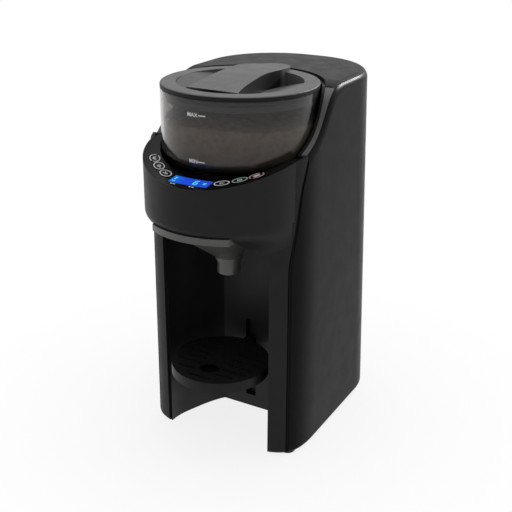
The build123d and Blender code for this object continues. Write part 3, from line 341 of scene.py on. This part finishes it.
def powder_piece():
    """Heap of powder with lumps on its uneven top, inside the canister's wall."""
    mesh = bpy.data.meshes.new("powder_heap")
    form = bmesh.new()

    def ring(radius, height):
        row = []
        for step in range(POWDER_STEPS):
            turn = 2 * math.pi * step / POWDER_STEPS
            x, y = radius * math.cos(turn), radius * math.sin(turn)
            row.append(form.verts.new((x, CANISTER_Y + y, height(x, y))))
        return row

    def band(inner, outer):
        for step in range(POWDER_STEPS):
            after = (step + 1) % POWDER_STEPS
            form.faces.new((inner[step], outer[step], outer[after], inner[after]))

    centre = form.verts.new((0, CANISTER_Y, powder_height(0, 0)))
    previous = ring(POWDER_R / POWDER_RINGS, powder_height)
    for step in range(POWDER_STEPS):
        form.faces.new((centre, previous[step], previous[(step + 1) % POWDER_STEPS]))
    for count in range(2, POWDER_RINGS + 1):
        row = ring(POWDER_R * count / POWDER_RINGS, powder_height)
        band(previous, row)
        previous = row
    for radius, z in POWDER_SIDE:
        row = ring(radius, lambda x, y: z)
        band(previous, row)
        previous = row
    form.faces.new(list(reversed(previous)))
    form.normal_update()
    form.to_mesh(mesh)
    form.free()
    mesh.materials.append(powder_shader())
    mesh.shade_smooth()
    piece = bpy.data.objects.new("powder_heap", mesh)
    scene.collection.objects.link(piece)
    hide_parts("powder_fill")
    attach(piece, "canister")


powder_piece()


# ---------------------------------------------------------------- printed marks
def ink(name, tone, tint=(1, 1, 1), glow=0.0):
    """Screen-printed ink, a little uneven; it may glow as a lit segment does."""
    shader = Shader(name)
    full = tuple(srgb(tone) * c for c in tint) + (1.0,)
    worn = tuple(c * 0.86 for c in full[:3]) + (1.0,)
    colour = shader.ramp(shader.noise(700.0), [(DARK_AT, worn), (LIGHT_AT, full)])
    shader.link(colour, shader.main.inputs["Base Color"])
    shader.put(Roughness=0.5, Specular_IOR_Level=0.2)
    if glow:
        shader.link(colour, shader.main.inputs["Emission Color"])
        shader.put(Emission_Strength=glow)
    return shader.material


white_ink = ink("white_print", 232)
ring_ink = ink("ring_print", 225)
green_ink = ink("ring_print_green", 205, (0.66, 1.0, 0.76))
red_ink = ink("ring_print_red", 205, (1.0, 0.62, 0.64))
segment_ink = ink("lit_segment", 240, (0.12, 0.80, 1.0), glow=0.7)


LETTER_SIZE = 5.2 * mm
LETTER_BODY = 0.04 * mm  # half the thickness of the print
MARK_LIFT = 0.12 * mm  # print above the canister's wall
MARK_GAP, MARK_END = 0.6 * mm, 7.5 * mm  # the line after a word, from its last letter
MARK_HALF = 0.5 * mm  # half the width of that line
MARK_PARTS = 8  # pieces that bend the line to the wall


def text_mesh(name, words, size, material):
    """Flat mesh of a short word, from its left end, in the XY plane."""
    curve = bpy.data.curves.new(name, "FONT")
    curve.body = words
    curve.size = size
    curve.align_x = "LEFT"
    curve.align_y = "CENTER"
    curve.extrude = LETTER_BODY
    curve.offset = 0.08 * mm  # a little bolder
    holder = bpy.data.objects.new(name + "_curve", curve)
    scene.collection.objects.link(holder)
    bpy.context.view_layer.update()
    mesh = bpy.data.meshes.new_from_object(holder)
    mesh.name = name
    bpy.data.objects.remove(holder)
    mesh.materials.clear()
    mesh.materials.append(material)
    return mesh


def level_mark(name, word, start_x, z):
    """A word and a short line on the canister's wall, bent to its curve."""
    mesh = text_mesh(name, word, LETTER_SIZE, white_ink)
    form = bmesh.new()
    form.from_mesh(mesh)
    width = max(v.co.x for v in form.verts)
    corners = []
    for part in range(MARK_PARTS + 1):
        x = width + MARK_GAP + (MARK_END - MARK_GAP) * part / MARK_PARTS
        corners.append([
            form.verts.new((x, y, h)) for y in (-MARK_HALF, MARK_HALF) for h in (-LETTER_BODY, LETTER_BODY)
        ])
    for a, b in zip(corners, corners[1:]):
        for i, k in ((0, 1), (1, 3), (3, 2), (2, 0)):
            form.faces.new((a[i], a[k], b[k], b[i]))
    for end in (corners[0], corners[-1]):
        form.faces.new((end[0], end[1], end[3], end[2]))
    bmesh.ops.recalc_face_normals(form, faces=form.faces)
    for v in form.verts:
        across_x, up, out = v.co
        radius = CANISTER_R + MARK_LIFT + out
        turn = (start_x + across_x) / CANISTER_R
        v.co = Vector((radius * math.sin(turn), CANISTER_Y - radius * math.cos(turn), z + up))
    form.to_mesh(mesh)
    form.free()
    piece = bpy.data.objects.new(name, mesh)
    scene.collection.objects.link(piece)
    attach(piece, "canister")


level_mark("level_mark_high", "MAX", -10.5 * mm, 349 * mm)
level_mark("level_mark_low", "MIN", -9.5 * mm, 307 * mm)


def strip(points, line, closed=False):
    """Outline of a line of constant width along points, as quads of (x, y) pairs."""
    quads = []
    count = len(points)
    sides = []
    for i, p in enumerate(points):
        before = points[(i - 1) % count] if closed or i else points[i]
        after = points[(i + 1) % count] if closed or i < count - 1 else points[i]
        way = Vector((after[0] - before[0], after[1] - before[1])).normalized()
        out = Vector((-way.y, way.x)) * line / 2
        sides.append(((p[0] + out.x, p[1] + out.y), (p[0] - out.x, p[1] - out.y)))
    for i in range(count if closed else count - 1):
        a, b = sides[i], sides[(i + 1) % count]
        quads.append((a[0], b[0], b[1], a[1]))
    return quads


def oval(long_half, short_half, steps=48):
    """Points of an ellipse."""
    return [
        (long_half * math.cos(2 * math.pi * k / steps), short_half * math.sin(2 * math.pi * k / steps))
        for k in range(steps)
    ]


PRINT_LOW, PRINT_HIGH = 0.05 * mm, 0.15 * mm  # underside and top of a print above its carrier


def print_on(name, carrier, quads, turn, middle, material, body):
    """Thin print laid on the top of a carrier node: quads are turned, moved and dropped onto it."""
    surface = BVHTree.FromPolygons(
        [v.co for v in nodes[carrier].data.vertices], [list(p.vertices) for p in nodes[carrier].data.polygons]
    )
    form = bmesh.new()
    c, s = math.cos(turn), math.sin(turn)

    def drop(x, y):
        px, py = middle[0] + c * x - s * y, middle[1] + s * x + c * y
        hit, normal, _, _ = surface.ray_cast(Vector((px, py, 1.0)), Vector((0, 0, -1)))
        if hit is None:
            return None
        if normal.z < 0:
            normal = -normal
        return hit + normal * PRINT_LOW, hit + normal * PRINT_HIGH

    for quad in quads:
        spots = [drop(x, y) for x, y in quad]
        if any(spot is None for spot in spots):
            continue
        low = [form.verts.new(spot[0]) for spot in spots]
        high = [form.verts.new(spot[1]) for spot in spots]
        form.faces.new(high)
        form.faces.new(list(reversed(low)))
        for i in range(4):
            k = (i + 1) % 4
            form.faces.new((low[i], low[k], high[k], high[i]))
    bmesh.ops.recalc_face_normals(form, faces=form.faces)
    mesh = bpy.data.meshes.new(name)
    form.to_mesh(mesh)
    form.free()
    mesh.materials.append(material)
    piece = bpy.data.objects.new(name, mesh)
    scene.collection.objects.link(piece)
    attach(piece, body)


def square(x, y, w, h):
    """One quad of width w and height h about (x, y)."""
    return [((x - w / 2, y - h / 2), (x + w / 2, y - h / 2), (x + w / 2, y + h / 2), (x - w / 2, y + h / 2))]


LINE = 0.95 * mm
RING = oval(6.6 * mm, 4.6 * mm)


def line(*points, closed=False):
    """A line of the signs' width through points in mm."""
    return strip([(x * mm, y * mm) for x, y in points], LINE, closed)


def bar(x, y, width):
    """A level stroke about (x, y), in mm."""
    return square(x * mm, y * mm, width * mm, LINE)


signs = {
    "start": line((-1.6, 1.6), (2.2, 0), (-1.6, -1.6), closed=True),
    "stop": line((-1.8, -1.4), (1.8, -1.4), (1.8, 1.4), (-1.8, 1.4), closed=True),
    "settings": bar(0, 1.5, 6) + bar(0, 0, 6) + bar(0, -1.5, 6),
    "speed": line((-2.6, 1.5), (-0.6, 0), (-2.6, -1.5)) + line((0.4, 1.5), (2.4, 0), (0.4, -1.5)),
    "temperature": strip(oval(1.5 * mm, 1.3 * mm, 20), LINE, closed=True) + bar(3.2, 0, 1.8),
    "volume": line((-2.4, 1.4), (-1.7, -1.4), (1.7, -1.4), (2.4, 1.4)) + bar(0, 0.1, 3.4),
}
ring_colours = {"stop": green_ink, "settings": red_ink}  # by the rings' places, not by what the signs mean
for kind, sign in signs.items():
    node_name = kind + "_button"
    low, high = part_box(node_name)
    middle = ((low[0] + high[0]) / 2, (low[1] + high[1]) / 2)
    turn = math.atan2(middle[0], -(middle[1] - (CANISTER_Y - BOTTLE_REACH)))
    material = ring_colours.get(kind, ring_ink)
    print_on("ring_" + kind, node_name, strip(RING, LINE, closed=True), turn, middle, material,
             "button_" + kind)
    print_on("sign_" + kind, node_name, sign, turn, middle, ring_ink, "button_" + kind)

lens_low, lens_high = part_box("display_lens")
lens_mid = ((lens_low[0] + lens_high[0]) / 2, (lens_low[1] + lens_high[1]) / 2)


DIGIT_ARM = 3.4 * mm  # middle to middle of two strokes that face each other
DIGIT_STROKE = 0.85 * mm


def digit(x, y, segments):
    """Seven-segment digit about (x, y), 4.25 mm wide and 7.65 mm tall; segments as a string of a to g."""
    w, h, t = DIGIT_ARM, DIGIT_ARM, DIGIT_STROKE
    places = {
        "a": (0, h, w, t), "g": (0, 0, w, t), "d": (0, -h, w, t),
        "f": (-w / 2, h / 2, t, h), "b": (w / 2, h / 2, t, h),
        "e": (-w / 2, -h / 2, t, h), "c": (w / 2, -h / 2, t, h),
    }
    quads = []
    for letter in segments:
        px, py, sw, sh = places[letter]
        quads += square(x + px, y + py, sw, sh)
    return quads


SMALL_SEGMENTS = [  # middle, width and height in mm: two at the right of the digit, three at the far left
    (14.5, 1.2, 3.4, 0.8), (14.5, -1.0, 3.4, 0.8),
    (-16.6, 3.0, 2.6, 0.9), (-16.6, 0.6, 1.0, 3.0), (-16.2, -3.4, 3.4, 0.9),
]
segments = digit(5.5 * mm, 0, "afgedc")
for small in SMALL_SEGMENTS:
    segments += square(*(value * mm for value in small))
print_on("display_digits", "display_lens", segments, 0.0, lens_mid, segment_ink, "housing")

MARKS_BELOW = 2.4 * mm  # the panel's two marks lie this far below the display
for index, x in enumerate((-13.5, 6.0)):
    marks = square((x - 1.4) * mm, 0, 1.6 * mm, 1.3 * mm) + square((x + 1.5) * mm, 0, 2.4 * mm, 1.1 * mm)
    place = (lens_mid[0], lens_low[1] - MARKS_BELOW)
    print_on("panel_mark_%d" % index, "control_panel", marks, 0.0, place, white_ink, "housing")

# ---------------------------------------------------------------- floor, light and camera
floor_shader = Shader("floor_white")
floor_tree = floor_shader.tree
floor_shader.link(
    floor_shader.ramp(floor_shader.noise(3.0), [(0.0, (0.93, 0.93, 0.93, 1)), (1.0, (0.95, 0.95, 0.95, 1))]),
    floor_shader.main.inputs["Base Color"],
)
floor_shader.put(Roughness=0.9, Specular_IOR_Level=0.1)
paper = floor_tree.nodes.new("ShaderNodeEmission")
paper.inputs["Color"].default_value = (1, 1, 1, 1)
paper.inputs["Strength"].default_value = 1.0


def seen_directly(tree):
    """1 for camera, glossy and transmission rays, 0 for the rays that light the object."""
    rays = tree.nodes.new("ShaderNodeLightPath")
    total = rays.outputs["Is Camera Ray"]
    for kind in ("Is Glossy Ray", "Is Transmission Ray"):
        most = tree.nodes.new("ShaderNodeMath")
        most.operation = "MAXIMUM"
        tree.links.new(total, most.inputs[0])
        tree.links.new(rays.outputs[kind], most.inputs[1])
        total = most.outputs[0]
    return total


SHADOW_NEAR, SHADOW_FAR = 0.12, 0.36  # m from the middle: the floor keeps its shadow within, is white beyond
away = floor_tree.nodes.new("ShaderNodeVectorMath")
away.operation = "LENGTH"
floor_shader.link(floor_shader.where(), away.inputs[0])
paleness = floor_shader.spread(away.outputs["Value"], 0.84, 1.0, SHADOW_NEAR, SHADOW_FAR)
share = floor_shader.combine("MULTIPLY", paleness, seen_directly(floor_tree))
floor_mix = floor_tree.nodes.new("ShaderNodeMixShader")
floor_shader.link(share, floor_mix.inputs["Fac"])
floor_shader.link(floor_shader.main.outputs[0], floor_mix.inputs[1])
floor_shader.link(paper.outputs[0], floor_mix.inputs[2])
floor_shader.link(floor_mix.outputs[0], floor_shader.out.inputs["Surface"])

FLOOR_HALF = 6.0  # m
floor_mesh = bpy.data.meshes.new("floor")
floor_mesh.from_pydata(
    [(x * FLOOR_HALF, y * FLOOR_HALF, 0) for x, y in ((-1, -1), (1, -1), (1, 1), (-1, 1))], [], [(0, 1, 2, 3)]
)
floor_mesh.materials.append(floor_shader.material)
floor = bpy.data.objects.new("floor", floor_mesh)
scene.collection.objects.link(floor)


def lamp(name, place, target, power, size, size_y):
    """Soft rectangular studio light: metres and watts."""
    data = bpy.data.lights.new(name, "AREA")
    data.shape = "RECTANGLE"
    data.size = size
    data.size_y = size_y
    data.energy = power
    obj = bpy.data.objects.new(name, data)
    aim = (Vector(target) - Vector(place)).to_track_quat("-Z", "Y")
    obj.matrix_world = Matrix.Translation(place) @ aim.to_matrix().to_4x4()
    obj.visible_camera = False
    scene.collection.objects.link(obj)
    return obj


lamp("light_top", (0.1, 0.25, 1.9), (0, 0, 0.2), 14.0, 1.4, 1.4)
lamp("light_right", (1.3, 0.9, 0.75), (0, 0, 0.25), 2.0, 0.5, 1.1)
lamp("light_left", (-1.4, -1.1, 0.9), (0, 0, 0.2), 1.2, 0.6, 0.6)
edge_lamp = lamp("light_edge", (0.6, 1.3, 1.0), (0.08, 0.05, 0.36), 30.0, 0.30, 0.10)
edge_lamp.visible_diffuse = False  # only the thin line of light on the right top edge

world = bpy.data.worlds.new("studio")
scene.world = world
world.use_nodes = True
tree = world.node_tree
tree.nodes.clear()
world_out = tree.nodes.new("ShaderNodeOutputWorld")
pick = tree.nodes.new("ShaderNodeMixShader")
tree.links.new(seen_directly(tree), pick.inputs["Fac"])
for socket, strength in ((1, 0.5), (2, 1.0)):  # what lights the object, and what is seen of the white room
    white = tree.nodes.new("ShaderNodeBackground")
    white.inputs["Color"].default_value = (1, 1, 1, 1)
    white.inputs["Strength"].default_value = strength
    tree.links.new(white.outputs[0], pick.inputs[socket])
tree.links.new(pick.outputs[0], world_out.inputs["Surface"])

camera_data = bpy.data.cameras.new("camera")
camera_data.sensor_fit = "HORIZONTAL"
camera_data.sensor_width = 36.0
camera_data.lens = 62.455
camera_data.clip_start = 0.01
camera = bpy.data.objects.new("camera", camera_data)
side_way = Vector((0.87138726, 0.49056684, 0.00532992))
up_way = Vector((-0.191596, 0.3302878, 0.92422992))
back_way = side_way.cross(up_way)
pose = Matrix((side_way, up_way, back_way)).transposed().to_4x4()
pose.translation = Vector((0.41808, -0.74926, 0.53172))
camera.matrix_world = pose
scene.collection.objects.link(camera)
scene.camera = camera

scene.view_settings.view_transform = "Standard"
